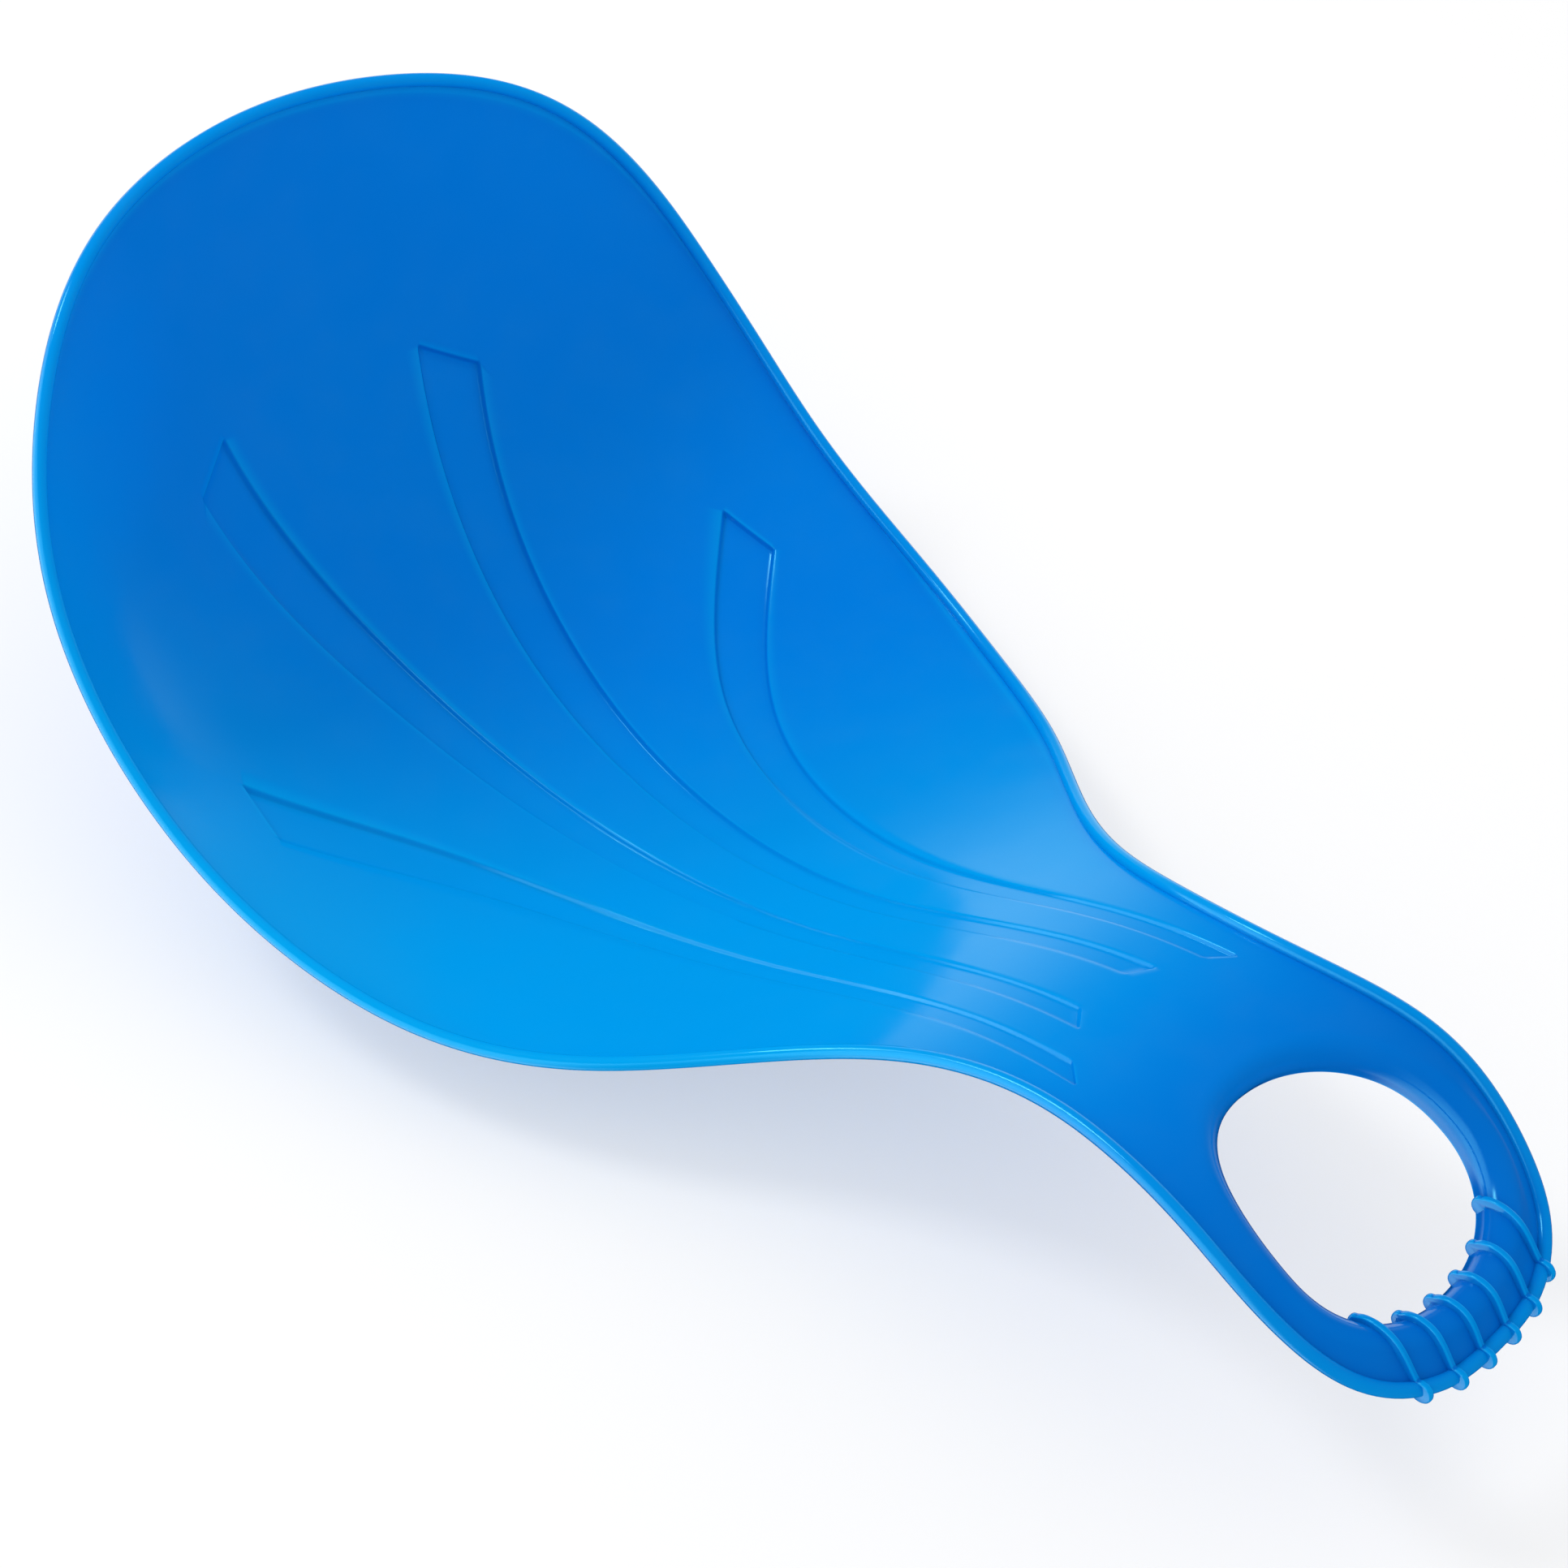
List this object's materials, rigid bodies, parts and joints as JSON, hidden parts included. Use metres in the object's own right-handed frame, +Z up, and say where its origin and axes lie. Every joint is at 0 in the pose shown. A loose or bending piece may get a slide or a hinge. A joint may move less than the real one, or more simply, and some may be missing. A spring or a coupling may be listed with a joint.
{
  "type": "shovel sled",
  "caption": "Shovel-shaped snow sled with a dished seat, raised back, fan channels that form runners below, and a ring handle with grip ribs.",
  "frame": {"origin": "on the ground under the middle of the sled's box, with the sled lying as it rests", "axes": "+X along the sled towards the hand loop, +Y to the left seen from the seat facing the loop, +Z up"},
  "size_m": [0.595, 0.333, 0.2032],
  "materials": {
    "blue_plastic": "smooth moulded plastic, bright blue"
  },
  "bodies": {
    "root": {"seat_pan": "blue_plastic", "handle_neck": "blue_plastic", "hand_loop": "blue_plastic", "seat_rim_bead": "blue_plastic", "loop_rim_bead": "blue_plastic", "grip_rib_1": "blue_plastic", "grip_rib_2": "blue_plastic", "grip_rib_3": "blue_plastic", "grip_rib_4": "blue_plastic", "grip_rib_5": "blue_plastic", "grip_rib_6": "blue_plastic"}
  },
  "joints": []
}
